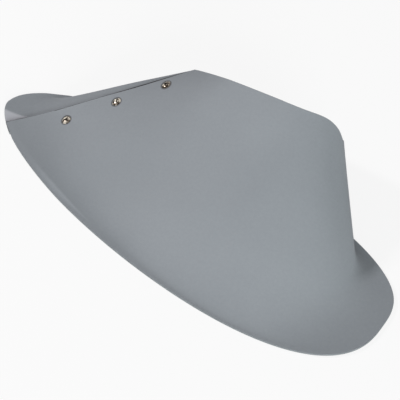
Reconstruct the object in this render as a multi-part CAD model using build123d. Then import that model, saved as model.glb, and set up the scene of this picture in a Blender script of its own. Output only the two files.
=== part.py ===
from build123d import *
import math
import os

# Strut cuff: one formed plastic sheet that fairs a leaning streamlined strut into a wing skin.
# Lengths are millimetres and angles are degrees. The wing skin is z = 0 and +X points to the
# cuff's nose. The strut leans over towards +Y, so the broad top panel is on the -Y side, here
# called near, and the underside panel is on the +Y side, called far. The origin is where the
# strut's mid line meets the wing skin.

# Sheet
sheet = 2.0
land_skim = 0.15

# Mouth, where the strut comes out, trimmed square to the strut
lean = 60.0
mouth_height = 55.0
mouth_nose_x = 88.0
mouth_chord = 140.0
mouth_half = 26.8
mouth_taper = 1.0
mouth_tilt = 2.5
mouth_tail_radius = 2.6
nose_corner = 1.5
tail_corner = 1.0
corner_spread = 20.0

# Foot, the line where the panels would meet the flange without a blend
foot_nose_x = 148.1
foot_tail_x = -161.25
foot_near = 60.3
foot_far = 37.9
foot_near_taper = 1.32
foot_far_taper = 1.0
foot_skew = 16.1
foot_tail_radius = 14.4

# Rim, the flange's outline
rim_nose_x = 194.2
rim_tail_x = -202.2
rim_near = 84.8
rim_far = 60.6
rim_near_taper = 0.4
rim_far_taper = 0.28
rim_near_fullness = 0.88
rim_far_fullness = 0.55
rim_nose_y = -13.9
rim_tail_y = 1.8
rim_bow = 14.5
rim_shear = 0.9
rim_nose_turn = -1.9
rim_near_turn = 25.4
rim_far_turn = 26.0

# Blend between panel and flange: its reach up the panel, and its share of the flange
blend_near = 62.8
blend_far = 33.0
blend_ends = 18.9
blend_share = 0.83

# Lap along the slit trailing edge: the near panel's edge lies over the far panel's tab
lap_gap = 1.0
lap_gap_rim = 0.3
tab_width = 29.0
tab_width_rim = 12.0
tail_wrap_share = 0.2
fin_rise_start = 80.0
fin_rise_full = 120.0
rim_rise_start = 130.0
rim_rise_full = 158.0
crease_height = 1.4
crease_start = 0.05
crease_peak = 0.84

# Screws: how far each is down the near edge from the mouth, and in from that edge
screw_names = ["high", "middle", "low"]
screw_turns = [20.0, 65.0, -15.0]
first_screw = 36.5
screw_pitch = 50.0
high_screw_inset = 15.5
low_screw_inset = 21.0
thread_radius = 2.1
screw_length = 11.0
screw_chamfer = 0.6
head_radius = 4.75
head_rim = 0.45
head_height = 2.5
head_seat = 0.05
recess_width = 1.3
recess_span = 5.2
recess_depth = 1.6
recess_taper = 12.0
hole_clearance = 0.35

# Clip nuts, folded from spring steel over the tab's hidden edge
leaf = 0.4
leaf_clearance = 0.1
clip_width = 12.0
clip_reach = 6.5
collar_radius = 3.4
collar_height = 2.2
thread_clearance = 0.06

# How finely the formed surface is followed
panel_rows = 5
blend_rows = 10
land_rows = 3
side_columns = 22
wrap_columns = 10
tab_columns = 4
probe = 0.002
tip_angle = math.pi - 0.3

skim_size = 2 * max(rim_nose_x, -rim_tail_x) + sheet
lean_angle = math.radians(lean)
strut_up = Vector(0, math.sin(lean_angle), math.cos(lean_angle))
strut_top = Vector(0, -math.cos(lean_angle), math.sin(lean_angle))


def mix(a, b, share):
    """Value a share of the way from a to b."""
    return a + (b - a) * share


def ease(value, start, end):
    """Smooth step from 0 at start to 1 at end."""
    share = min(max((value - start) / (end - start), 0.0), 1.0)
    return share * share * (3 - 2 * share)


def half_breadth(theta, taper, fullness=1.0):
    """Half breadth of a drop shape, 1 at its widest, for theta 0 at the nose to pi at the tail."""
    widest = 2 * math.atan(math.sqrt(fullness / (fullness + taper)))

    def raw(angle):
        return abs(math.sin(angle)) ** fullness * abs(math.cos(angle / 2)) ** taper

    return raw(theta) / raw(widest)


def half_breadth_slope(theta, taper):
    """Change of half_breadth with theta."""
    return half_breadth(theta, taper) * (1 / math.tan(theta) - taper / 2 * math.tan(theta / 2))


def place_on_loop(station):
    """Side, theta and share of the tail wrap for a station.

    Stations run from -1 at the near edge, through 0 at the nose, to 1 where the far panel has
    wrapped round the tail."""
    if station < 0:
        return -1, -station * math.pi, 0.0
    wrap_start = 1 - tail_wrap_share
    theta = min(station / wrap_start, 1.0) * math.pi
    return 1, theta, max(station - wrap_start, 0.0) / tail_wrap_share


def drop_section(station, length, near, far, near_taper, far_taper, radius):
    """Point of a drop shape with a rounded tail: distance aft of its nose, and offset to far."""
    side, theta, wrap = place_on_loop(station)
    breadth = near if side < 0 else far
    taper = near_taper if side < 0 else far_taper
    aft = length * (1 - math.cos(theta)) / 2
    out = side * breadth * half_breadth(theta, taper)

    def edge_angle(angle, width, shape):
        run = length * math.sin(angle) / 2
        return math.atan2(run, -width * half_breadth_slope(angle, shape))

    if wrap > 0:
        turn = mix(edge_angle(tip_angle, far, far_taper), -edge_angle(tip_angle, near, near_taper), wrap)
    elif theta < probe:
        turn = math.pi
    else:
        turn = side * edge_angle(min(theta, tip_angle), breadth, taper)
    return aft + radius * math.cos(turn), out + radius * math.sin(turn)


def mouth_point(station):
    """Point of the former at the mouth's trim line."""
    aft, out = drop_section(
        station, mouth_chord, mouth_half, mouth_half, mouth_taper, mouth_taper, mouth_tail_radius
    )
    tilt = math.radians(mouth_tilt)
    aft_way = Vector(-math.cos(tilt), 0, 0) - strut_up * math.sin(tilt)
    nose = Vector(mouth_nose_x, mouth_height * math.tan(lean_angle), mouth_height)
    return nose + aft_way * aft - strut_top * out


def foot_point(station):
    """Point where the panel would meet the flange."""
    length = foot_nose_x - foot_tail_x
    aft, out = drop_section(
        station, length, foot_near, foot_far, foot_near_taper, foot_far_taper, foot_tail_radius
    )
    return Vector(foot_nose_x - aft, out + foot_skew * aft / length, sheet)


def rim_point(station):
    """Point of the flange's rim."""
    side, theta, wrap = place_on_loop(station)
    tail_turn = rim_near_turn if side < 0 else -rim_far_turn
    turn = side * theta + math.radians(mix(rim_nose_turn, tail_turn, (1 - math.cos(theta)) / 2))
    turn += math.radians(wrap * (rim_far_turn + rim_near_turn))
    turn = (turn + math.pi) % (2 * math.pi) - math.pi
    theta = abs(turn)
    aft = (1 - math.cos(theta)) / 2
    if turn < 0:
        out = -rim_near * half_breadth(theta, rim_near_taper, rim_near_fullness)
    else:
        out = rim_far * half_breadth(theta, rim_far_taper, rim_far_fullness)
    middle = mix(rim_nose_y, rim_tail_y, aft) + rim_bow * 4 * aft * (1 - aft)
    return Vector(mix(rim_nose_x, rim_tail_x, aft) + rim_shear * math.sin(turn), middle + out, sheet)


def crease(station, level):
    """Lift of the far flange beside the slit, which folds down to the tab along a crease."""
    side, theta, wrap = place_on_loop(station)
    up = ease(wrap, crease_start, crease_peak)
    down = min((1 - wrap) / (1 - crease_peak), 1.0)
    return crease_height * min(up, down) * ease(level, 1.5, 3.0)


def former_point(station, level):
    """Point of the former: level 0 to 1 down the panel, to 2 round the blend, to 3 at the rim."""
    side, theta, wrap = place_on_loop(station)
    foot = foot_point(station)
    mouth = mouth_point(station)
    down = foot - mouth
    spread = math.radians(corner_spread)
    corner = nose_corner * math.exp(-((theta / spread) ** 2))
    corner += tail_corner * math.exp(-(((math.pi - theta) / spread) ** 2))
    mouth = mouth + down.normalized() * corner
    reach = mix(blend_ends, blend_near if side < 0 else blend_far, math.sin(theta) ** 2)
    top = foot - down.normalized() * reach
    rim = rim_point(station)
    outer = foot + (rim - foot) * blend_share
    if level <= 1:
        point = mouth + (top - mouth) * level
    elif level <= 2:
        share = level - 1
        point = top * (1 - share) ** 2 + foot * (2 * share * (1 - share)) + outer * share ** 2
    else:
        point = outer + (rim - outer) * (level - 2)
    return point + Vector(0, 0, crease(station, level))


def former_place(station, level):
    """Point of the former and its outward normal there."""
    here = former_point(station, level)
    ahead = former_point(min(station + probe, 1.0), level)
    behind = former_point(max(station - probe, -1.0), level)
    step = -probe if level > 1.5 else probe
    down = (former_point(station, level + step) - here) * step
    return here, down.cross(ahead - behind).normalized()


def rise(station, level):
    """Share of the lap by which the near panel stands off the former, to clear the tab."""
    if station >= 0:
        return 0.0
    theta = math.degrees(-station * math.pi)
    share = ease(level, 0.0, 3.0)
    start = mix(fin_rise_start, rim_rise_start, share)
    return ease(theta, start, mix(fin_rise_full, rim_rise_full, share))


def skin_depth(level):
    """Sheet thickness, with the stock under the flange that is skimmed flat."""
    return sheet + land_skim * ease(level, 1.6, 2.0)


def lap_at(level):
    """How far the near panel stands off the former where it lies over the tab."""
    return sheet + mix(lap_gap, lap_gap_rim, ease(level, 1.0, 3.0))


def skin_points(station, level):
    """Points of the sheet's outer and inner faces."""
    here, normal = former_place(station, level)
    outer = here + normal * (lap_at(level) * rise(station, level))
    return outer, outer - normal * skin_depth(level)


def inset_station(inset, level):
    """Station of the near side that lies a distance in from the slit, at a level."""
    edge = former_point(-1.0, level)
    low, high = -1.0, -0.5
    for _ in range(20):
        middle = (low + high) / 2
        if (former_point(middle, level) - edge).length < inset:
            low = middle
        else:
            high = middle
    return (low + high) / 2


def tab_station(level):
    """Station of the tab's hidden edge, which lies under the near panel."""
    return inset_station(mix(tab_width, tab_width_rim, ease(level, 1.0, 3.0)), level)


def tab_edge(level):
    """Point of the tab's hidden edge."""
    return former_point(tab_station(level), level)


def tab_reach(frame, level):
    """Furthest that the tab's hidden edge comes from the screw, across a clip's width."""
    reach = frame.to_local_coords(tab_edge(level)).X
    for way in (-1, 1):
        for step in range(1, 60):
            place = frame.to_local_coords(tab_edge(level + way * step * 0.01))
            reach = max(reach, place.X)
            if abs(place.Y) > clip_width / 2:
                break
    return reach


def tab_points(share, level, edge_station):
    """Points of the tab's outer and inner faces, a share of the way to its hidden edge."""
    here, normal = former_place(mix(-1.0, edge_station, math.sqrt(share)), level)
    return here, here - normal * skin_depth(level)


def spaced(start, end, count):
    """Even values from start to end, with both ends."""
    return [mix(start, end, index / count) for index in range(count + 1)]


def skin_grids():
    """Grids of points of the sheet's outer and inner faces, from the near edge to the tab's."""
    levels = spaced(0, 1, panel_rows) + spaced(1, 2, blend_rows)[1:] + spaced(2, 3, land_rows)[1:]
    near = spaced(-1, 0, side_columns)
    far = spaced(0, 1 - tail_wrap_share, side_columns)[1:]
    wrap = spaced(1 - tail_wrap_share, 1, wrap_columns)[1:]
    tab = spaced(0, 1, tab_columns)[1:]
    outer_grid = []
    inner_grid = []
    for level in levels:
        edge_station = tab_station(level)
        pairs = [skin_points(station, level) for station in near + far + wrap]
        pairs += [tab_points(share, level, edge_station) for share in tab]
        outer_grid.append([outer for outer, inner in pairs])
        inner_grid.append([inner for outer, inner in pairs])
    return outer_grid, inner_grid


def column_shares(grid):
    """Share of the way along the rows at which each column lies, averaged over the rows."""
    steps = [[(b - a).length for a, b in zip(row, row[1:])] for row in grid]
    means = [sum(step[i] / sum(step) for step in steps) for i in range(len(steps[0]))]
    return [sum(means[:i]) / sum(means) for i in range(len(means) + 1)]


def lofted_bands(grid, shares):
    """Smooth faces through the rows of a grid: the panels, the blend and the land."""
    rows = [Wire([Edge.make_spline(row, parameters=shares)]) for row in grid]
    ends = [0, panel_rows, panel_rows + blend_rows, panel_rows + blend_rows + land_rows]
    return [Shell.make_loft(rows[a:b + 1]).faces()[0] for a, b in zip(ends, ends[1:])]


def trimmed_edges(bands):
    """Edges of the bands that no other band shares."""
    edges = [edge for band in bands for edge in band.edges()]

    def near(edge, other):
        return ((edge @ 0.5) - (other @ 0.5)).length < sheet / 100

    return [edge for edge in edges if sum(near(edge, other) for other in edges) == 1]


def formed_sheet():
    """The whole sheet: outer and inner faces, closed by walls along the trimmed edges."""
    outer_grid, inner_grid = skin_grids()
    shares = column_shares(outer_grid)
    outer = lofted_bands(outer_grid, shares)
    inner = lofted_bands(inner_grid, shares)
    inner_edges = trimmed_edges(inner)
    walls = []
    for edge in trimmed_edges(outer):
        partner = min(inner_edges, key=lambda other: ((other @ 0.5) - (edge @ 0.5)).length)
        walls.append(Face.make_surface_from_curves(edge, partner))
    return Solid(Shell(outer + inner + walls))


def level_down_edge(distance):
    """Level at which the slit's edge is a distance down from the mouth."""
    steps = 300
    run = 0.0
    last = former_point(-1.0, 0.0)
    for index in range(1, steps + 1):
        level = 3 * index / steps
        here = former_point(-1.0, level)
        run += (here - last).length
        if run >= distance:
            return level
        last = here
    return 3.0


def fastener_frame(index):
    """Frame of one screw: origin on the former, z outward, x towards the tab's hidden edge."""
    level = level_down_edge(first_screw + index * screw_pitch)
    inset = mix(high_screw_inset, low_screw_inset, index / (len(screw_names) - 1))
    here, normal = former_place(inset_station(inset, level), level)
    edge = tab_edge(level)
    inward = (tab_edge(level + probe) - edge).cross(normal).normalized()
    if inward.dot(edge - here) < 0:
        inward = -inward
    return Plane(origin=here, x_dir=inward, z_dir=normal), level


def former_height(frame, level, across, along):
    """Height of the former over the frame's plane, at a place in that plane."""
    aim = frame.from_local_coords(Vector(across, along, 0))
    station = inset_station((aim - former_point(-1.0, level)).length, level)
    for _ in range(4):
        here, normal = former_place(station, level)
        gap = aim - here
        gap -= frame.z_dir * (gap.dot(normal) / frame.z_dir.dot(normal))
        by_station = (former_point(station + probe, level) - here) / probe
        by_level = (former_point(station, level + probe) - here) / probe
        cross = by_station.cross(by_level)
        station += gap.cross(by_level).dot(cross) / cross.dot(cross)
        level += by_station.cross(gap).dot(cross) / cross.dot(cross)
    return frame.to_local_coords(former_point(station, level)).Z


def height_range(frame, level, across_from, across_to, half_width):
    """Lowest and highest height of the former over a rectangle of the frame's plane."""
    places = [(across, along) for across in spaced(across_from, across_to, 4)
              for along in spaced(-half_width, half_width, 4)]
    heights = [former_height(frame, level, across, along) for across, along in places]
    return min(heights), max(heights)


def screw(index):
    """Dome-head cross-recess screw, with its head on the near panel."""
    frame, level = fastener_frame(index)
    low, high = height_range(frame, level, -head_radius, head_radius, head_radius)
    dome = head_height - head_rim
    dome_radius = (head_radius ** 2 + dome ** 2) / (2 * dome)
    outline = Polyline((0, head_height), (0, 0), (head_radius, 0), (head_radius, head_rim))
    outline += RadiusArc((head_radius, head_rim), (0, head_height), -dome_radius)
    head = revolve(Plane.XZ * make_face(outline), Axis.Z)
    cross = Rectangle(recess_span, recess_width) + Rectangle(recess_width, recess_span)
    recess = extrude(Plane.XY.offset(head_height) * cross, -recess_depth, taper=recess_taper)
    shank = Cylinder(thread_radius, screw_length, align=(Align.CENTER, Align.CENTER, Align.MAX))
    shank = chamfer(shank.edges().sort_by(Axis.Z)[0], screw_chamfer)
    seat = lap_at(level) + high + head_seat
    body = Rot(0, 0, screw_turns[index]) * (head - recess) + shank
    return frame * Pos(0, 0, seat) * body


def clip_nut(index):
    """Folded clip nut: a leaf each side of the tab, joined round its edge, and a threaded collar."""
    frame, level = fastener_frame(index)
    edge = tab_reach(frame, level) + leaf_clearance
    low, high = height_range(frame, level, -clip_reach, edge + leaf, clip_width / 2)
    upper = (low + high + lap_at(level) - sheet - leaf) / 2
    lower = low - sheet - leaf_clearance
    fold = (upper - lower) / 2
    middle = (upper + lower) / 2
    reach = edge + clip_reach
    profile = Pos(edge - reach / 2, 0) * Rectangle(reach, 2 * (fold + leaf))
    profile += Pos(edge, 0) * Circle(fold + leaf)
    profile -= Pos(edge - reach / 2, 0) * Rectangle(reach, 2 * fold) + Pos(edge, 0) * Circle(fold)
    clip = extrude(Plane.XZ * (Pos(0, middle) * profile), clip_width / 2, both=True)
    top = (Align.CENTER, Align.CENTER, Align.MAX)
    clip += Pos(0, 0, lower - leaf) * Cylinder(collar_radius, collar_height, align=top)
    return frame * (clip - Cylinder(thread_radius + thread_clearance, 2 * screw_length))


def cuff_skin():
    """The formed sheet, skimmed flat for the wing skin and drilled for the screws."""
    skin = formed_sheet() - Pos(0, 0, -skim_size / 2) * Box(skim_size, skim_size, skim_size)
    for index in range(len(screw_names)):
        frame, level = fastener_frame(index)
        skin -= frame * Cylinder(thread_radius + hole_clearance, 2 * (lap_at(level) + 2 * sheet))
    return skin


os.makedirs("parts", exist_ok=True)
export_step(cuff_skin(), "parts/cuff_skin.step")
for number, name in enumerate(screw_names):
    export_step(screw(number), f"parts/screw_{name}.step")
    export_step(clip_nut(number), f"parts/clip_nut_{name}.step")
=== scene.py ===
import bpy
import bmesh
import math
import numpy as np
from mathutils import Matrix, Vector


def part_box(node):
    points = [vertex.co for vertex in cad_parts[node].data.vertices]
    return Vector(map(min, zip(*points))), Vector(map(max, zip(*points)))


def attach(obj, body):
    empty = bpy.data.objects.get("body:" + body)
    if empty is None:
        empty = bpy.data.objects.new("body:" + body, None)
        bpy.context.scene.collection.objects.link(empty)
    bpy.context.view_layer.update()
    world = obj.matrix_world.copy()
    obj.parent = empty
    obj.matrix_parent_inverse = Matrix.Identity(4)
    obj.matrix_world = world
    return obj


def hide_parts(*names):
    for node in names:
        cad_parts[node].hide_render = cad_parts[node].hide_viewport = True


# Strut cuff: one thermoformed grey plastic sheet, three stainless screws and three clip nuts.
# The sheet is built again here as a fine smooth mesh from the CAD's driving dimensions.
# Those dimensions are millimetres and degrees. Everything else is metres, in the CAD frame.

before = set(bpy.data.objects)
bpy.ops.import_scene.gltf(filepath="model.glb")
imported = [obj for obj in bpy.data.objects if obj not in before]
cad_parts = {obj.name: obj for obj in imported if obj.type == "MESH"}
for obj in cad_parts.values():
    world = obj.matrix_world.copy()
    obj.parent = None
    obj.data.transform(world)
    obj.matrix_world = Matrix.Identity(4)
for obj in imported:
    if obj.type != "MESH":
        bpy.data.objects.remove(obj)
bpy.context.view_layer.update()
MM = 0.001

# Sheet
SHEET = 2.0
LAND_SKIM = 0.15
LAND_SKIM_FROM = 1.6

# Mouth, trimmed square to the strut
LEAN = math.radians(60.0)
MOUTH_HEIGHT = 55.0
MOUTH_NOSE_X = 88.0
MOUTH_CHORD = 140.0
MOUTH_HALF = 26.8
MOUTH_TAPER = 1.0
MOUTH_TILT = math.radians(2.5)
MOUTH_TAIL_RADIUS = 2.6
NOSE_CORNER = 4.5
NOSE_CORNER_SPREAD = math.radians(9.0)
NOSE_SWELL = 3.6
NOSE_SWELL_AT = math.radians(30.0)
NOSE_SWELL_SPREAD = math.radians(20.0)
TAIL_CORNER = 1.0
TAIL_CORNER_SPREAD = math.radians(20.0)

# Foot, where the panels would meet the flange without a blend
FOOT_NOSE_X = 148.1
FOOT_TAIL_X = -161.25
FOOT_NEAR = 60.3
FOOT_FAR = 37.9
FOOT_NEAR_TAPER = 1.32
FOOT_FAR_TAPER = 1.0
FOOT_SKEW = 16.1
FOOT_TAIL_RADIUS = 14.4

# Rim, the flange's outline
RIM_NOSE_X = 194.2
RIM_TAIL_X = -202.2
RIM_NEAR = 84.8
RIM_FAR = 60.6
RIM_NEAR_TAPER = 0.4
RIM_FAR_TAPER = 0.28
RIM_NEAR_FULLNESS = 0.88
RIM_FAR_FULLNESS = 0.55
RIM_NOSE_Y = -13.9
RIM_TAIL_Y = 1.8
RIM_BOW = 14.5
RIM_SHEAR = 0.9
RIM_NOSE_TURN = math.radians(-1.9)
RIM_NEAR_TURN = math.radians(25.4)
RIM_FAR_TURN = math.radians(26.0)

# Levels down the sheet
AT_MOUTH, AT_BLEND, AT_LAND, AT_RIM = 0.0, 1.0, 2.0, 3.0

# Blend between panel and flange
BLEND_NEAR = 62.8
BLEND_FAR = 33.0
BLEND_ENDS = 18.9
BLEND_SHARE = 0.83

# Lap along the slit trailing edge
LAP_GAP = 1.0
LAP_GAP_RIM = 0.3
TAB_WIDTH = 29.0
TAB_WIDTH_RIM = 12.0
TAB_LIMIT = -0.5
TAB_STEPS = 20
WRAP_START = 0.8
FIN_RISE = (math.radians(80.0), math.radians(120.0))
RIM_RISE = (math.radians(130.0), math.radians(158.0))

# Facet that folds down to the slit across the flange, as shares of the tail's wrap
CREASE_HEIGHT = 1.8
CREASE_START = 0.05
CREASE_PEAK = 0.77
CREASE_TOP = 1.55
FACET_LEVELS = (CREASE_TOP, AT_LAND, AT_RIM)
FACET_SHARES = (0.001, 0.8, 1.0)
FACET_EDGE = (1.15, 0.9)

# Near the mouth the rolled edge is fuller, and the near panel stops short of it
CREST_SWELL = 2.2
CREST_LEVELS = (AT_BLEND, 0.35)
EDGE_RECEDE = 0.06
RECEDE_LEVELS = (0.9, 0.3)

# Painted shade on the tab beside the slit, as far as this from the slit at the mouth, blend, land
# and rim
SEAM_SHADE_REACH = (2.4, 3.4, 3.3, 2.7)
SEAM_SHADE_FADE = 0.7

# How finely the mesh follows the form, and how round its trimmed edges are
PANEL_ROWS = 14
BLEND_ROWS = 40
LAND_ROWS = 7
SIDE_COLUMNS = 110
WRAP_COLUMNS = 50
TAB_COLUMNS = 8
COLUMN_SPREAD = 0.6
EDGE_ROUND = 0.45
ROUND_SEGMENTS = 3
SHARP_ANGLE = math.radians(40)
SMOOTH_ANGLE = math.radians(35)
EVEN_WEIGHT = 90
PROBE = 0.002
PROBE_TURN = 1.5
TIP_ANGLE = math.pi - 0.3

# Screws
HEAD_RADIUS = 4.75
HEAD_RIM = 0.55
HEAD_HEIGHT = 2.5
SHANK_LENGTH = 11.0
THREAD_RADIUS = 2.08
THREAD_DEPTH = 0.42
THREAD_PITCH = 0.9
THREAD_START = 0.8
POINT_LENGTH = 0.9
HOLE_RADIUS = 2.45
RECESS_WIDTH = 1.15
RECESS_SPAN = 5.0
RECESS_FLOOR_SPAN = 2.4
RECESS_DEPTH = 1.75
SCREW_TURNS = {"screw_high": 20.0, "screw_middle": 65.0, "screw_low": -15.0}
SCREW_SEGMENTS = 56
HOLE_SEGMENTS = 32
THREAD_STEPS = 9
THREAD_CREST = 1.4
THREAD_FLANK = 3.4
POINT_TAPER = 0.62
HEAD_EDGE = 0.12
CROWN_RINGS = 14
CROWN_INSET = 0.08
RECESS_FLOOR_SHARE = 0.7
RECESS_FLARE = 1.12
CUT_ABOVE = 1.0

# Painted shade on the screws, and a painted contact shadow on the sheet round each head
SHANK_SHADE = 0.35
RIM_SHADE = 0.9
RIM_SHADE_WIDTH = 0.5
RECESS_SHADE_DEPTH = 0.7
RECESS_MARGIN = 0.05
CONTACT_SHADOW_RING = (0.2, 0.9)
CONTACT_SHADOW_STRENGTH = 0.7

# Clip nuts
CLIP_ROUND = 0.08
CLIP_SEGMENTS = 2
CLIP_MERGE = 0.002
FLAT_ANGLE = math.radians(1)

STRUT_UP = np.array([0.0, math.sin(LEAN), math.cos(LEAN)])
STRUT_TOP = np.array([0.0, -math.cos(LEAN), math.sin(LEAN)])


# ---- Form of the sheet ----

def mix(a, b, share):
    return a + (b - a) * share


def ease(value, start, end):
    share = np.clip((value - start) / (end - start), 0.0, 1.0)
    return share * share * (3 - 2 * share)


def vectors(x, y, z):
    return np.stack(np.broadcast_arrays(x, y, z), axis=-1)


def half_breadth(theta, taper, fullness=1.0):
    """Half breadth of a drop shape, 1 at its widest, for theta 0 at the nose to pi at the tail."""
    widest = 2 * np.arctan(np.sqrt(fullness / (fullness + taper)))

    def raw(angle):
        return np.abs(np.sin(angle)) ** fullness * np.abs(np.cos(angle / 2)) ** taper

    return raw(theta) / raw(widest)


def place_on_loop(station):
    """Side, theta and share of the tail wrap, for stations from -1 by 0 at the nose to 1."""
    side = np.where(station < 0, -1.0, 1.0)
    theta = np.where(station < 0, -station, np.minimum(station / WRAP_START, 1.0)) * math.pi
    return side, theta, np.maximum(station - WRAP_START, 0.0) / (1 - WRAP_START)


def drop_section(station, length, near, far, near_taper, far_taper, radius):
    """Drop shape with a rounded tail: distance aft of its nose, and offset to the far side."""
    side, theta, wrap = place_on_loop(station)

    def edge_angle(angle, width, taper):
        slope = 1 / np.tan(angle) - taper / 2 * np.tan(angle / 2)
        return np.arctan2(length * np.sin(angle) / 2, -width * half_breadth(angle, taper) * slope)

    breadth = np.where(side < 0, near, far)
    taper = np.where(side < 0, near_taper, far_taper)
    aft = length * (1 - np.cos(theta)) / 2
    out = side * breadth * half_breadth(theta, taper)
    along = side * edge_angle(np.clip(theta, PROBE, TIP_ANGLE), breadth, taper)
    along = np.where(theta < PROBE, math.pi, along)
    tip_far = edge_angle(TIP_ANGLE, far, far_taper)
    tip_near = edge_angle(TIP_ANGLE, near, near_taper)
    turn = np.where(wrap > 0, mix(tip_far, -tip_near, wrap), along)
    return aft + radius * np.cos(turn), out + radius * np.sin(turn)


def mouth_point(station):
    aft, out = drop_section(
        station, MOUTH_CHORD, MOUTH_HALF, MOUTH_HALF, MOUTH_TAPER, MOUTH_TAPER, MOUTH_TAIL_RADIUS
    )
    aft_way = np.array([-math.cos(MOUTH_TILT), 0, 0]) - STRUT_UP * math.sin(MOUTH_TILT)
    nose = np.array([MOUTH_NOSE_X, MOUTH_HEIGHT * math.tan(LEAN), MOUTH_HEIGHT])
    return nose + aft[..., None] * aft_way - out[..., None] * STRUT_TOP


def foot_point(station):
    length = FOOT_NOSE_X - FOOT_TAIL_X
    aft, out = drop_section(
        station, length, FOOT_NEAR, FOOT_FAR, FOOT_NEAR_TAPER, FOOT_FAR_TAPER, FOOT_TAIL_RADIUS
    )
    return vectors(FOOT_NOSE_X - aft, out + FOOT_SKEW * aft / length, SHEET)


def rim_point(station):
    side, theta, wrap = place_on_loop(station)
    tail_turn = np.where(side < 0, RIM_NEAR_TURN, -RIM_FAR_TURN)
    turn = side * theta + mix(RIM_NOSE_TURN, tail_turn, (1 - np.cos(theta)) / 2)
    turn = turn + wrap * (RIM_FAR_TURN + RIM_NEAR_TURN)
    turn = (turn + math.pi) % (2 * math.pi) - math.pi
    theta = np.abs(turn)
    aft = (1 - np.cos(theta)) / 2
    near = -RIM_NEAR * half_breadth(theta, RIM_NEAR_TAPER, RIM_NEAR_FULLNESS)
    far = RIM_FAR * half_breadth(theta, RIM_FAR_TAPER, RIM_FAR_FULLNESS)
    middle = mix(RIM_NOSE_Y, RIM_TAIL_Y, aft) + RIM_BOW * 4 * aft * (1 - aft)
    out = np.where(turn < 0, near, far)
    along = mix(RIM_NOSE_X, RIM_TAIL_X, aft) + RIM_SHEAR * np.sin(turn)
    return vectors(along, middle + out, SHEET)


def facet_width(level):
    """Width of the folded facet beside the slit, as a share of the wrap: widest at the rim."""
    return (1 - CREASE_PEAK) * np.interp(level, FACET_LEVELS, FACET_SHARES)


def crease(station, level):
    """Lift of the far flange beside the slit, which folds down to the tab along a crease."""
    wrap = place_on_loop(station)[2]
    width = facet_width(level)
    up = ease(wrap, CREASE_START, 1 - width)
    down = np.minimum((1 - wrap) / width, 1.0)
    return CREASE_HEIGHT * np.minimum(up, down) * width / (1 - CREASE_PEAK)


def former_point(station, level):
    """Point of the former: down the panel from level 0, the blend from 1 and the land from 2."""
    side, theta = place_on_loop(station)[:2]
    foot = foot_point(station)
    mouth = mouth_point(station)
    down = foot - mouth
    down = down / np.linalg.norm(down, axis=-1, keepdims=True)
    corner = NOSE_CORNER * np.exp(-((theta / NOSE_CORNER_SPREAD) ** 2))
    corner = corner + TAIL_CORNER * np.exp(-(((math.pi - theta) / TAIL_CORNER_SPREAD) ** 2))
    swell = np.exp(-(((theta - NOSE_SWELL_AT) / NOSE_SWELL_SPREAD) ** 2))
    corner = corner - NOSE_SWELL * np.where(side < 0, swell, 0.0)
    mouth = mouth + down * corner[..., None]
    reach = mix(BLEND_ENDS, np.where(side < 0, BLEND_NEAR, BLEND_FAR), np.sin(theta) ** 2)
    top = foot - down * reach[..., None]
    rim = rim_point(station)
    outer = foot + (rim - foot) * BLEND_SHARE
    row = level[..., None]
    panel = mouth + (top - mouth) * row
    share = row - AT_BLEND
    blend = top * (1 - share) ** 2 + foot * (2 * share * (1 - share)) + outer * share ** 2
    land = outer + (rim - outer) * (row - AT_LAND)
    point = np.where(row <= AT_BLEND, panel, np.where(row <= AT_LAND, blend, land))
    lift = crease(station, level)
    return point + vectors(0 * lift, 0 * lift, lift)


def former_place(station, level):
    """Points of the former and its outward normals there."""
    here = former_point(station, level)
    ahead = former_point(np.minimum(station + PROBE, 1.0), level)
    behind = former_point(np.maximum(station - PROBE, -1.0), level)
    step = np.where(level > PROBE_TURN, -PROBE, PROBE)
    down = (former_point(station, level + step) - here) * step[..., None]
    normal = np.cross(down, ahead - behind)
    return here, normal / np.linalg.norm(normal, axis=-1, keepdims=True)


def rise(station, level):
    """Share of the lap by which the near panel stands off the former, to clear the tab."""
    share = ease(level, AT_MOUTH, AT_RIM)
    start = mix(FIN_RISE[0], RIM_RISE[0], share)
    up = ease(-station * math.pi, start, mix(FIN_RISE[1], RIM_RISE[1], share))
    return np.where(station < 0, up, 0.0)


def faces_of_sheet(station, level, lifted):
    """Points of the sheet's outer and inner faces."""
    here, normal = former_place(station, level)
    lap = SHEET + mix(LAP_GAP, LAP_GAP_RIM, ease(level, AT_BLEND, AT_RIM))
    depth = SHEET + LAND_SKIM * ease(level, LAND_SKIM_FROM, AT_LAND)
    outer = here + normal * (lap * rise(station, level) * lifted)[..., None]
    wrap = place_on_loop(station)[2]
    crest = CREST_SWELL * np.sin(math.pi * wrap) * ease(level, *CREST_LEVELS)
    outer = outer + normal * crest[..., None]
    return outer, outer - normal * depth[..., None]


def tab_station(level):
    """Station of the tab's hidden edge, which lies under the near panel."""
    width = mix(TAB_WIDTH, TAB_WIDTH_RIM, ease(level, AT_BLEND, AT_RIM))
    edge = former_point(np.full_like(level, -1.0), level)
    low = np.full_like(level, -1.0)
    high = np.full_like(level, TAB_LIMIT)
    for _ in range(TAB_STEPS):
        middle = (low + high) / 2
        inside = np.linalg.norm(former_point(middle, level) - edge, axis=-1) < width
        low = np.where(inside, middle, low)
        high = np.where(inside, high, middle)
    return (low + high) / 2


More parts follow.
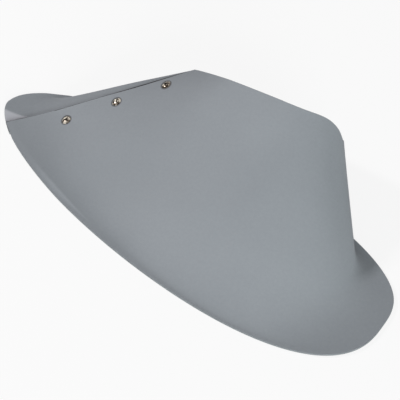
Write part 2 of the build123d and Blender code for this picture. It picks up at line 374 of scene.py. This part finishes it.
def visible_marks(station, level):
    """Painted shade beside the slit, and the folded facet painted lighter as a painted highlight
    with stress whitening, as shares from 0 to 1.
    """
    wrap = place_on_loop(station)[2]
    slit = former_point(np.full_like(level, -1.0), level)
    from_slit = np.linalg.norm(former_point(station, level) - slit, axis=-1)
    reach = np.interp(level, (AT_MOUTH, AT_BLEND, AT_LAND, AT_RIM), SEAM_SHADE_REACH)
    # Painted shade on the tab in the gap beside the slit, fading with distance from it
    seam_shade = ease(from_slit / reach, 1.0, SEAM_SHADE_FADE) * (wrap > 0)
    width = facet_width(level)
    # The folded facet is painted lighter: a painted highlight, with stress whitening along the
    # fold
    facet_whitening_and_highlight = ease(wrap, 1 - FACET_EDGE[0] * width, 1 - FACET_EDGE[1] * width)
    return seam_shade, facet_whitening_and_highlight * (level > CREASE_TOP)


def sheet_grids():
    """Points of both faces in rows and columns, from the near edge round to the tab's hidden
    edge, and the marks that the materials read there."""
    levels = np.concatenate([
        np.linspace(AT_MOUTH, AT_BLEND, PANEL_ROWS, endpoint=False),
        np.linspace(AT_BLEND, AT_LAND, BLEND_ROWS, endpoint=False),
        np.linspace(AT_LAND, AT_RIM, LAND_ROWS + 1),
    ])
    spread = np.linspace(0, 1, SIDE_COLUMNS + 1) ** COLUMN_SPREAD
    near = spread - 1
    far = (1 - spread[::-1])[1:] * WRAP_START
    wrap = np.linspace(WRAP_START, 1, WRAP_COLUMNS + 1)[1:]
    loop = np.concatenate([near, far, wrap])
    level, station = np.meshgrid(levels, loop, indexing="ij")
    recede = EDGE_RECEDE * ease(level, *RECEDE_LEVELS)
    receded = np.where(station < 0, station * (1 - recede), station)
    outer, inner = faces_of_sheet(receded, level, 1.0)
    share = np.sqrt(np.linspace(0, 1, TAB_COLUMNS + 1)[1:])
    hidden = mix(-1.0, tab_station(levels)[:, None], share)
    tab_outer, tab_inner = faces_of_sheet(hidden, level[:, :TAB_COLUMNS], 0.0)
    outer = np.concatenate([outer, tab_outer], axis=1)
    inner = np.concatenate([inner, tab_inner], axis=1)
    inner[..., 2] = np.maximum(inner[..., 2], 0.0)
    seam_shade, facet_whitening_and_highlight = visible_marks(station, level)
    # The hidden tab under the near panel gets the full painted shade
    hidden_marks = np.ones((len(levels), TAB_COLUMNS))
    seam_shade = np.concatenate([seam_shade, hidden_marks], axis=1)
    facet_whitening_and_highlight = np.concatenate([facet_whitening_and_highlight, 0 * hidden_marks], axis=1)
    slit = np.zeros_like(seam_shade)
    slit[:, 0] = 1.0
    return outer * MM, inner * MM, {"seam_shade": seam_shade, "facet_whitening_and_highlight": facet_whitening_and_highlight, "slit": slit}


# ---- Mesh helpers ----

def add_object(name, mesh):
    obj = bpy.data.objects.new(name, mesh)
    bpy.context.scene.collection.objects.link(obj)
    return obj


def apply_modifiers(obj):
    """Bakes an object's modifiers into its mesh."""
    bpy.context.view_layer.update()
    shaped = obj.evaluated_get(bpy.context.evaluated_depsgraph_get())
    mesh = bpy.data.meshes.new_from_object(shaped)
    obj.modifiers.clear()
    obj.data = mesh


def cut(obj, cutter):
    """Takes the cutter's volume out of an object, and removes the cutter."""
    modifier = obj.modifiers.new("cut", "BOOLEAN")
    modifier.object = cutter
    modifier.solver = "EXACT"
    apply_modifiers(obj)
    bpy.data.objects.remove(cutter)


def even_shading(obj):
    """Smooth shading in which the broad faces keep their own direction beside a rounded edge."""
    obj.data.shade_smooth()
    modifier = obj.modifiers.new("even", "WEIGHTED_NORMAL")
    modifier.keep_sharp = True
    modifier.weight = EVEN_WEIGHT


def lathe(name, rings, segments):
    """Closed mesh turned about z. Each ring is a height and one radius for each segment."""
    bm = bmesh.new()
    loops = []
    for height, radii in rings:
        loop = []
        for i in range(segments):
            angle = 2 * math.pi * i / segments
            x, y = radii[i] * math.cos(angle), radii[i] * math.sin(angle)
            loop.append(bm.verts.new((x, y, height)))
        loops.append(loop)
    for low, high in zip(loops, loops[1:]):
        for i in range(segments):
            j = (i + 1) % segments
            bm.faces.new((low[i], low[j], high[j], high[i]))
    bm.faces.new(loops[0][::-1])
    bm.faces.new(loops[-1])
    bmesh.ops.triangulate(bm, faces=[f for f in bm.faces if len(f.verts) > 4])
    mesh = bpy.data.meshes.new(name)
    bm.to_mesh(mesh)
    bm.free()
    return mesh


# ---- Node materials ----

def linear(*display):
    """Linear colour of 8-bit display values."""
    parts = [v / 255 for v in display]
    return [v / 12.92 if v <= 0.04045 else ((v + 0.055) / 1.055) ** 2.4 for v in parts] + [1.0]


def grey(value):
    return (value, value, value, 1.0)


PLASTIC_DARK, PLASTIC_LIGHT = linear(138, 143, 148), linear(144, 149, 154)
# Colour of the painted highlight, with stress whitening, on the folded facet
FACET_WHITENING_AND_HIGHLIGHT = linear(178, 180, 186)
# Colour of the painted shade in the gap beside the slit and on the hidden tab
SEAM_SHADE_COLOUR = linear(52, 52, 54)
# Colour of the painted contact shadow round each screw head
CONTACT_SHADOW_COLOUR = linear(46, 44, 44)
# The trimmed edges are darker than the sheet: painted shade, so that their rounding shows no
# bright line
TRIM_DARK, TRIM_LIGHT = linear(112, 117, 121), linear(128, 133, 137)
# Colour of the painted shadow on the near panel's cut edge along the slit
SLIT_SHADOW_COLOUR = linear(40, 40, 42)
# Steel colours from dark brown to cream, darker than real stainless: painted reflections, with
# tarnish
STEEL_DARK, STEEL_MIDDLE = linear(44, 36, 30), linear(112, 102, 92)
STEEL_LIGHT = linear(206, 198, 184)
# Colour of the painted shade on the screws
STEEL_SHADE_COLOUR = linear(34, 27, 22)
SPRING_DARK, SPRING_MIDDLE = linear(74, 74, 78), linear(96, 96, 99)
SPRING_LIGHT = linear(124, 121, 116)


class Finish:
    """A procedural material under construction."""

    def __init__(self, name):
        self.material = bpy.data.materials.new(name)
        self.material.use_nodes = True
        self.tree = self.material.node_tree
        self.shader = self.tree.nodes["Principled BSDF"]
        self.place = self.node("ShaderNodeTexCoord").outputs["Object"]

    def node(self, kind, **inputs):
        made = self.tree.nodes.new(kind)
        for key, value in inputs.items():
            self.put(made.inputs[key.replace("_", " ")], value)
        return made

    def put(self, socket, value):
        if isinstance(value, bpy.types.NodeSocket):
            self.tree.links.new(value, socket)
        else:
            socket.default_value = value

    def stretched(self, x, y, z):
        return self.node("ShaderNodeMapping", Vector=self.place, Scale=(x, y, z)).outputs["Vector"]

    def noise(self, scale, detail=2.0, roughness=0.5, place=None):
        made = self.node("ShaderNodeTexNoise", Vector=place or self.place, Scale=scale)
        made.inputs["Detail"].default_value = detail
        made.inputs["Roughness"].default_value = roughness
        return made.outputs["Fac"]

    def ramp(self, factor, *stops):
        made = self.node("ShaderNodeValToRGB", Fac=factor)
        elements = made.color_ramp.elements
        while len(elements) < len(stops):
            elements.new(0.5)
        for element, (place, colour) in zip(elements, stops):
            element.position = place
            element.color = colour
        return made.outputs["Color"]

    def blend(self, factor, first, second, mode="MIX"):
        made = self.tree.nodes.new("ShaderNodeMix")
        made.data_type = "RGBA"
        made.blend_type = mode
        for socket, value in ((0, factor), (6, first), (7, second)):
            self.put(made.inputs[socket], value)
        return made.outputs[2]

    def mark(self, name):
        made = self.node("ShaderNodeAttribute")
        made.attribute_name = name
        return made.outputs["Fac"]

    def bump(self, height, distance, strength, normal=None):
        made = self.node("ShaderNodeBump", Height=height, Distance=distance, Strength=strength)
        if normal:
            self.tree.links.new(normal, made.inputs["Normal"])
        return made.outputs["Normal"]

    def set(self, **inputs):
        for key, value in inputs.items():
            self.put(self.shader.inputs[key.replace("_", " ")], value)


def contact_dirt(finish, colour):
    """Painted contact shadow: darkens a colour in a thin ring round each screw head."""
    near, far = ((HEAD_RADIUS + apart) * MM for apart in CONTACT_SHADOW_RING)
    for seat in seats.values():
        apart = finish.node("ShaderNodeVectorMath")
        apart.operation = "DISTANCE"
        finish.put(apart.inputs[0], finish.place)
        apart.inputs[1].default_value = seat.translation
        ring = finish.node(
            "ShaderNodeMapRange", Value=apart.outputs["Value"], From_Min=near, From_Max=far
        )
        ring.inputs["To Min"].default_value = CONTACT_SHADOW_STRENGTH
        ring.inputs["To Max"].default_value = 0.0
        colour = finish.blend(ring.outputs["Result"], colour, CONTACT_SHADOW_COLOUR)
    return colour


def satin_plastic():
    """Thermoformed sheet: faint cloudy tone, orange peel, fine grain and a few scuffs, with
    painted shade beside the slit and round the screw heads, and a painted highlight on the folded
    facet.
    """
    finish = Finish("satin_grey_plastic")
    cloud = finish.ramp(finish.noise(11.0, 4.0), (0.35, PLASTIC_DARK), (0.65, PLASTIC_LIGHT))
    speck = finish.ramp(finish.noise(420.0, 3.0, 0.7), (0.3, grey(0.47)), (0.7, grey(0.53)))
    colour = finish.blend(0.5, cloud, speck, "OVERLAY")
    streaks = finish.noise(60.0, 5.0, 0.75, finish.stretched(1.0, 9.0, 9.0))
    scuff = finish.ramp(streaks, (0.64, grey(0.0)), (0.78, grey(1.0)))
    # Painted highlight with stress whitening on the folded facet
    colour = finish.blend(finish.mark("facet_whitening_and_highlight"), colour, FACET_WHITENING_AND_HIGHLIGHT)
    # Painted shade beside the slit
    colour = finish.blend(finish.mark("seam_shade"), colour, SEAM_SHADE_COLOUR)
    # Painted contact shadow round each screw head
    colour = contact_dirt(finish, colour)
    soft = finish.ramp(finish.noise(45.0, 4.0), (0.3, grey(0.6)), (0.7, grey(0.7)))
    rough = finish.blend(scuff, soft, grey(0.5))
    peel = finish.bump(finish.noise(380.0, 2.0), 0.00006, 0.35)
    grain = finish.bump(finish.noise(2600.0, 2.0, 0.6), 0.00004, 0.4, peel)
    finish.set(
        Base_Color=colour, Roughness=rough, Normal=grain, IOR=1.45, Specular_IOR_Level=0.3
    )
    return finish.material


def trimmed_plastic():
    """Routed edge of the sheet: matt, with tool marks, darker than the sheet as painted shade, and
    with a painted shadow along the slit.
    """
    finish = Finish("trimmed_grey_plastic")
    tone = finish.noise(160.0, 4.0, 0.6)
    # Darker than the sheet: painted shade on the trimmed edges
    colour = finish.ramp(tone, (0.3, TRIM_DARK), (0.7, TRIM_LIGHT))
    marks = finish.noise(900.0, 3.0, 0.6, finish.stretched(0.35, 0.35, 3.0))
    rough = finish.ramp(marks, (0.3, grey(0.5)), (0.7, grey(0.68)))
    # Painted shadow on the near panel's cut edge along the slit
    colour = finish.blend(finish.mark("slit"), colour, SLIT_SHADOW_COLOUR)
    tooling = finish.bump(marks, 0.00008, 0.5)
    finish.set(Base_Color=colour, Roughness=rough, Normal=tooling, IOR=1.5)
    return finish.material


def stainless():
    """Polished stainless steel with wear. Its patches from dark brown to cream are tarnish and
    painted reflection, and it is darkened with painted shade where marked.
    """
    finish = Finish("stainless_steel")
    patches = finish.noise(300.0, 3.0, 0.55)
    # Dark brown to cream patches, darker than real stainless: painted reflections, with tarnish
    tarnish_and_painted_reflection = finish.ramp(patches, (0.40, STEEL_DARK), (0.50, STEEL_MIDDLE), (0.60, STEEL_LIGHT))
    # Painted shade in the recess, round the rim and on the shank
    dirt = finish.mark("dirt")
    colour = finish.blend(dirt, tarnish_and_painted_reflection, STEEL_SHADE_COLOUR)
    wear = finish.noise(3200.0, 4.0, 0.7)
    polished = finish.ramp(wear, (0.3, grey(0.14)), (0.75, grey(0.26)))
    rough = finish.blend(dirt, polished, grey(0.6))
    worn = finish.bump(wear, 0.00001, 0.4)
    finish.set(Base_Color=colour, Roughness=rough, Normal=worn, Metallic=1.0)
    return finish.material


def spring_steel():
    """Dark phosphated spring steel with a fine mottled surface."""
    finish = Finish("dark_spring_steel")
    mottle = finish.noise(900.0, 5.0, 0.7)
    colour = finish.ramp(mottle, (0.3, SPRING_DARK), (0.5, SPRING_MIDDLE), (0.72, SPRING_LIGHT))
    rough = finish.ramp(finish.noise(1800.0, 3.0), (0.3, grey(0.36)), (0.7, grey(0.56)))
    pitted = finish.bump(mottle, 0.00003, 0.5)
    finish.set(Base_Color=colour, Roughness=rough, Normal=pitted, Metallic=1.0)
    return finish.material


# ---- Screw seats, read from the CAD nodes ----

def seat_of(node):
    """Place matrix of a screw: the middle of its head's flat underside, with z outward."""
    mesh = node.data
    mesh.calc_loop_triangles()
    sums = {}
    for triangle in mesh.loop_triangles:
        key = tuple(round(part, 2) for part in triangle.normal)
        area, middle, normal = sums.get(key, (0.0, Vector(), Vector()))
        sums[key] = (
            area + triangle.area,
            middle + triangle.area * Vector(triangle.center),
            normal + triangle.area * Vector(triangle.normal),
        )
    area, middle, normal = max(sums.values(), key=lambda entry: entry[0])
    z_axis = -normal.normalized()
    x_axis = Vector((1, 0, 0))
    x_axis = (x_axis - z_axis * x_axis.dot(z_axis)).normalized()
    turn = Matrix((x_axis, z_axis.cross(x_axis), z_axis)).transposed().to_4x4()
    return Matrix.Translation(middle / area) @ turn


seats = {
    name: seat_of(node) for name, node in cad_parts.items() if name.startswith("screw")
}
plastic = satin_plastic()
trimmed = trimmed_plastic()
bright_steel = stainless()
dark_steel = spring_steel()


# ---- Sheet ----

def sheet_mesh():
    """Closed mesh of the sheet with rounded edges. Material 1 is on the trimmed edges."""
    outer, inner, marks = sheet_grids()
    low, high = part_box("cuff_skin")
    rows, columns = outer.shape[:2]
    points = np.clip(np.concatenate([outer.reshape(-1, 3), inner.reshape(-1, 3)]), low, high)
    count = rows * columns
    index = np.arange(count).reshape(rows, columns)
    a, b = index[:-1, :-1].ravel(), index[1:, :-1].ravel()
    c, d = index[1:, 1:].ravel(), index[:-1, 1:].ravel()
    skin = np.concatenate([np.stack([a, b, c, d], 1), np.stack([d, c, b, a], 1) + count])
    walls = []
    for border in (index[0], index[-1], index[:, 0], index[:, -1]):
        first, second = border[:-1], border[1:]
        walls.append(np.stack([first, second, second + count, first + count], 1))
    walls = np.concatenate(walls)
    bm = bmesh.new()
    for name in marks:
        bm.verts.layers.float.new(name)
    verts = [bm.verts.new(point) for point in points]
    for name, values in marks.items():
        layer = bm.verts.layers.float[name]
        for vert, value in zip(verts, np.tile(values.ravel(), 2)):
            vert[layer] = value
    for quad in skin:
        bm.faces.new([verts[i] for i in quad])
    for quad in walls:
        bm.faces.new([verts[i] for i in quad]).material_index = 1
    bmesh.ops.recalc_face_normals(bm, faces=bm.faces)
    border = [e for e in bm.edges if sum(f.material_index for f in e.link_faces) == 1]
    corners = [e for e in bm.edges if all(f.material_index for f in e.link_faces)
               and e.calc_face_angle() > SHARP_ANGLE]
    bmesh.ops.bevel(bm, geom=border + corners, offset=EDGE_ROUND * MM, offset_type="OFFSET",
                    segments=ROUND_SEGMENTS, profile=0.5, affect="EDGES", clamp_overlap=True,
                    material=1)
    mesh = bpy.data.meshes.new("formed_sheet")
    bm.to_mesh(mesh)
    bm.free()
    mesh.materials.append(plastic)
    mesh.materials.append(trimmed)
    return mesh


def hole_cutter(seat):
    """Cylinder through both layers of the sheet at a screw."""
    reach = 4 * SHEET * MM
    radii = [HOLE_RADIUS * MM] * HOLE_SEGMENTS
    hole = lathe("hole", [(-reach, radii), (reach, radii)], HOLE_SEGMENTS)
    hole.materials.append(plastic)
    hole.materials.append(trimmed)
    for face in hole.polygons:
        face.material_index = 1
    cutter = add_object("hole", hole)
    cutter.matrix_world = seat
    return cutter


def build_sheet():
    sheet = add_object("formed_sheet", sheet_mesh())
    for seat in seats.values():
        cut(sheet, hole_cutter(seat))
    even_shading(sheet)
    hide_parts("cuff_skin")
    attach(sheet, "root")


# ---- Screws ----

def dome_height(radius):
    """Height of the head's dome over its underside, at a distance from its middle."""
    dome = HEAD_HEIGHT - HEAD_RIM
    ball = (HEAD_RADIUS ** 2 + dome ** 2) / (2 * dome)
    return HEAD_HEIGHT - ball + math.sqrt(max(ball ** 2 - radius ** 2, 0.0))


def screw_rings():
    """Rings of a screw from its point up to the top of its dome, in millimetres."""
    rings = []
    steps = int(SHANK_LENGTH / THREAD_PITCH * THREAD_STEPS)
    angles = np.arange(SCREW_SEGMENTS) / SCREW_SEGMENTS
    for step in range(steps + 1):
        height = -SHANK_LENGTH + SHANK_LENGTH * step / steps
        phase = (height / THREAD_PITCH - angles) % 1.0
        ridge = np.clip(THREAD_CREST - np.abs(phase - 0.5) * THREAD_FLANK, 0.0, 1.0)
        fade = ease(height, -THREAD_START, -THREAD_START - THREAD_PITCH)
        point = ease(height, -SHANK_LENGTH, -SHANK_LENGTH + POINT_LENGTH)
        core = mix(POINT_TAPER, 1.0, point) * (THREAD_RADIUS - THREAD_DEPTH)
        rings.append((height, core + THREAD_DEPTH * ridge * fade * point))
    even = np.ones(SCREW_SEGMENTS)
    rings.append((0.0, even * (HEAD_RADIUS - HEAD_EDGE)))
    rings.append((HEAD_EDGE, even * HEAD_RADIUS))
    rings.append((HEAD_RIM - HEAD_EDGE, even * HEAD_RADIUS))
    for step in range(CROWN_RINGS):
        radius = (HEAD_RADIUS - CROWN_INSET) * math.cos(math.pi / 2 * step / CROWN_RINGS)
        rings.append((dome_height(radius), even * radius))
    return rings


def recess_cutter():
    """Cross recess of a driver: four wings that narrow down to a small floor."""
    def outline(span, width, height):
        wing = [(span / 2, -width / 2), (span / 2, width / 2), (width / 2, width / 2)]
        points = []
        for quarter in range(4):
            turn = Matrix.Rotation(quarter * math.pi / 2, 2)
            points += [turn @ Vector(point) for point in wing]
        return [(x * MM, y * MM, height * MM) for x, y in points]

    grow = (RECESS_SPAN - RECESS_FLOOR_SPAN) / RECESS_DEPTH
    bm = bmesh.new()
    floor_height = HEAD_HEIGHT - RECESS_DEPTH
    floor_width, top_width = RECESS_WIDTH * RECESS_FLOOR_SHARE, RECESS_WIDTH * RECESS_FLARE
    floor_outline = outline(RECESS_FLOOR_SPAN, floor_width, floor_height)
    low = [bm.verts.new(point) for point in floor_outline]
    top_outline = outline(RECESS_SPAN + grow * CUT_ABOVE, top_width, HEAD_HEIGHT + CUT_ABOVE)
    high = [bm.verts.new(point) for point in top_outline]
    count = len(low)
    for i in range(count):
        j = (i + 1) % count
        bm.faces.new((low[i], low[j], high[j], high[i]))
    bm.faces.new(low[::-1])
    bm.faces.new(high)
    bmesh.ops.recalc_face_normals(bm, faces=bm.faces)
    mesh = bpy.data.meshes.new("recess")
    bm.to_mesh(mesh)
    bm.free()
    return add_object("recess", mesh)


def mark_dirt(mesh):
    """Marks painted shade in the recess, round the head's rim and lightly on the shank."""
    values = []
    for vertex in mesh.vertices:
        x, y, z = vertex.co / MM
        radius = math.hypot(x, y)
        sunk = dome_height(min(radius, HEAD_RADIUS)) - z
        # Painted shade: light on the shank, strong round the head's rim, deepening down into the
        # recess
        if z < 0:
            values.append(SHANK_SHADE)
        elif radius > HEAD_RADIUS - RIM_SHADE_WIDTH:
            values.append(RIM_SHADE)
        elif radius < RECESS_SPAN / 2 + RECESS_MARGIN:
            values.append(sunk / RECESS_SHADE_DEPTH)
        else:
            values.append(0.0)
    mesh.attributes.new("dirt", "FLOAT", "POINT").data.foreach_set("value", np.clip(values, 0, 1))


def build_screw(name):
    rings = [(height * MM, radii * MM) for height, radii in screw_rings()]
    screw = add_object(name + "_dressed", lathe(name, rings, SCREW_SEGMENTS))
    cut(screw, recess_cutter())
    mark_dirt(screw.data)
    screw.data.materials.append(bright_steel)
    turn = Matrix.Rotation(math.radians(SCREW_TURNS[name]), 4, "Z")
    screw.data.transform(seats[name] @ turn)
    screw.data.set_sharp_from_angle(angle=SMOOTH_ANGLE)
    even_shading(screw)
    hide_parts(name)
    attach(screw, "root")


# ---- Clip nuts ----

def build_clip(name):
    """The CAD's clip nut with its sheared edges rounded over."""
    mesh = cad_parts[name].data.copy()
    mesh.materials.clear()
    mesh.materials.append(dark_steel)
    bm = bmesh.new()
    bm.from_mesh(mesh)
    bmesh.ops.remove_doubles(bm, verts=bm.verts, dist=CLIP_MERGE * MM)
    bmesh.ops.dissolve_limit(bm, angle_limit=FLAT_ANGLE, verts=bm.verts, edges=bm.edges)
    sharp = [e for e in bm.edges
             if len(e.link_faces) == 2 and e.calc_face_angle() > SHARP_ANGLE]
    bmesh.ops.bevel(bm, geom=sharp, offset=CLIP_ROUND * MM, offset_type="OFFSET",
                    segments=CLIP_SEGMENTS, profile=0.5, affect="EDGES", clamp_overlap=True)
    bm.to_mesh(mesh)
    bm.free()
    clip = add_object(name + "_dressed", mesh)
    even_shading(clip)
    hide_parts(name)
    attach(clip, "root")


build_sheet()
for node_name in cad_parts:
    if node_name.startswith("screw"):
        build_screw(node_name)
    elif node_name.startswith("clip"):
        build_clip(node_name)


# ---- Floor, light and camera ----

FLOOR_HALF = 4.0
FLOOR_DROP = 0.0004
FLOOR_TONE = 0.86
FLOOR_ROUGHNESS = 0.9
FLOOR_SHOWS = 0.86
WORLD_STRENGTH = 0.22
LAMP_DISTANCE = 3.0
LEFT_WAY = (-1.31, -0.45, 1.0)
LEFT_SIZE = (0.5, 0.5)
LEFT_POWER = 49.0
LEFT_TINT = (1.0, 0.97, 0.98)
RIGHT_WAY = (1.2, -1.0, 0.45)
RIGHT_SIZE = (1.3, 1.3)
RIGHT_POWER = 80.0
RIGHT_TINT = (0.96, 1.0, 0.995)
CAMERA_LENS = 84.045
CAMERA_SENSOR = 36.0
CAMERA_NEAR = 0.01
CAMERA_PLACE = (0.31564, -0.40407, 0.58703)
CAMERA_RIGHT = (0.80449, 0.59396, 0.0)
CAMERA_UP = (-0.44628, 0.60446, 0.65990)
CAMERA_BACK = (0.39195, -0.53088, 0.75136)


def seen_directly(tree):
    """1 for rays from the camera, or by way of a reflection or glass, and 0 for the light."""
    path = tree.nodes.new("ShaderNodeLightPath")
    total = path.outputs["Is Camera Ray"]
    for name in ("Is Glossy Ray", "Is Transmission Ray"):
        add = tree.nodes.new("ShaderNodeMath")
        add.operation = "MAXIMUM"
        tree.links.new(total, add.inputs[0])
        tree.links.new(path.outputs[name], add.inputs[1])
        total = add.outputs[0]
    return total


signs = ((-1, -1), (1, -1), (1, 1), (-1, 1))
floor_points = [(x * FLOOR_HALF, y * FLOOR_HALF, -FLOOR_DROP) for x, y in signs]
floor_mesh = bpy.data.meshes.new("floor")
floor_mesh.from_pydata(floor_points, [], [(0, 1, 2, 3)])
floor = add_object("floor", floor_mesh)
paper = bpy.data.materials.new("pale_paper")
paper.use_nodes = True
tree = paper.node_tree
paper_shader = tree.nodes["Principled BSDF"]
paper_shader.inputs["Base Color"].default_value = grey(FLOOR_TONE)
paper_shader.inputs["Roughness"].default_value = FLOOR_ROUGHNESS
white = tree.nodes.new("ShaderNodeEmission")
white.inputs["Strength"].default_value = 1.0
share = tree.nodes.new("ShaderNodeMath")
share.operation = "MULTIPLY"
share.inputs[1].default_value = FLOOR_SHOWS
tree.links.new(seen_directly(tree), share.inputs[0])
both = tree.nodes.new("ShaderNodeMixShader")
tree.links.new(share.outputs[0], both.inputs[0])
tree.links.new(paper_shader.outputs[0], both.inputs[1])
tree.links.new(white.outputs[0], both.inputs[2])
tree.links.new(both.outputs[0], tree.nodes["Material Output"].inputs["Surface"])
floor_mesh.materials.append(paper)

world = bpy.data.worlds.new("studio")
bpy.context.scene.world = world
world.use_nodes = True
sky = world.node_tree
strength = sky.nodes.new("ShaderNodeMapRange")
strength.inputs["To Min"].default_value = WORLD_STRENGTH
strength.inputs["To Max"].default_value = 1.0
sky.links.new(seen_directly(sky), strength.inputs["Value"])
sky.nodes["Background"].inputs["Color"].default_value = grey(1.0)
sky.links.new(strength.outputs["Result"], sky.nodes["Background"].inputs["Strength"])


def soft_lamp(name, way, size, power, tint):
    """Soft lamp that stands off in one direction from the object and faces it."""
    lamp = bpy.data.lights.new(name, "AREA")
    lamp.shape = "RECTANGLE"
    lamp.size, lamp.size_y = size
    lamp.energy = power
    lamp.color = tint
    out = Vector(way).normalized()
    lamp_object = bpy.data.objects.new(name, lamp)
    lamp_object.location = out * LAMP_DISTANCE
    lamp_object.rotation_euler = out.to_track_quat("Z", "Y").to_euler()
    bpy.context.scene.collection.objects.link(lamp_object)


soft_lamp("left_lamp", LEFT_WAY, LEFT_SIZE, LEFT_POWER, LEFT_TINT)
soft_lamp("right_lamp", RIGHT_WAY, RIGHT_SIZE, RIGHT_POWER, RIGHT_TINT)

camera_data = bpy.data.cameras.new("camera")
camera_data.lens = CAMERA_LENS
camera_data.sensor_width = CAMERA_SENSOR
camera_data.sensor_fit = "HORIZONTAL"
camera_data.clip_start = CAMERA_NEAR
camera = bpy.data.objects.new("camera", camera_data)
facing = Matrix((CAMERA_RIGHT, CAMERA_UP, CAMERA_BACK)).transposed().to_4x4()
camera.matrix_world = Matrix.Translation(CAMERA_PLACE) @ facing
bpy.context.scene.collection.objects.link(camera)
bpy.context.scene.camera = camera
bpy.context.scene.view_settings.view_transform = "Standard"
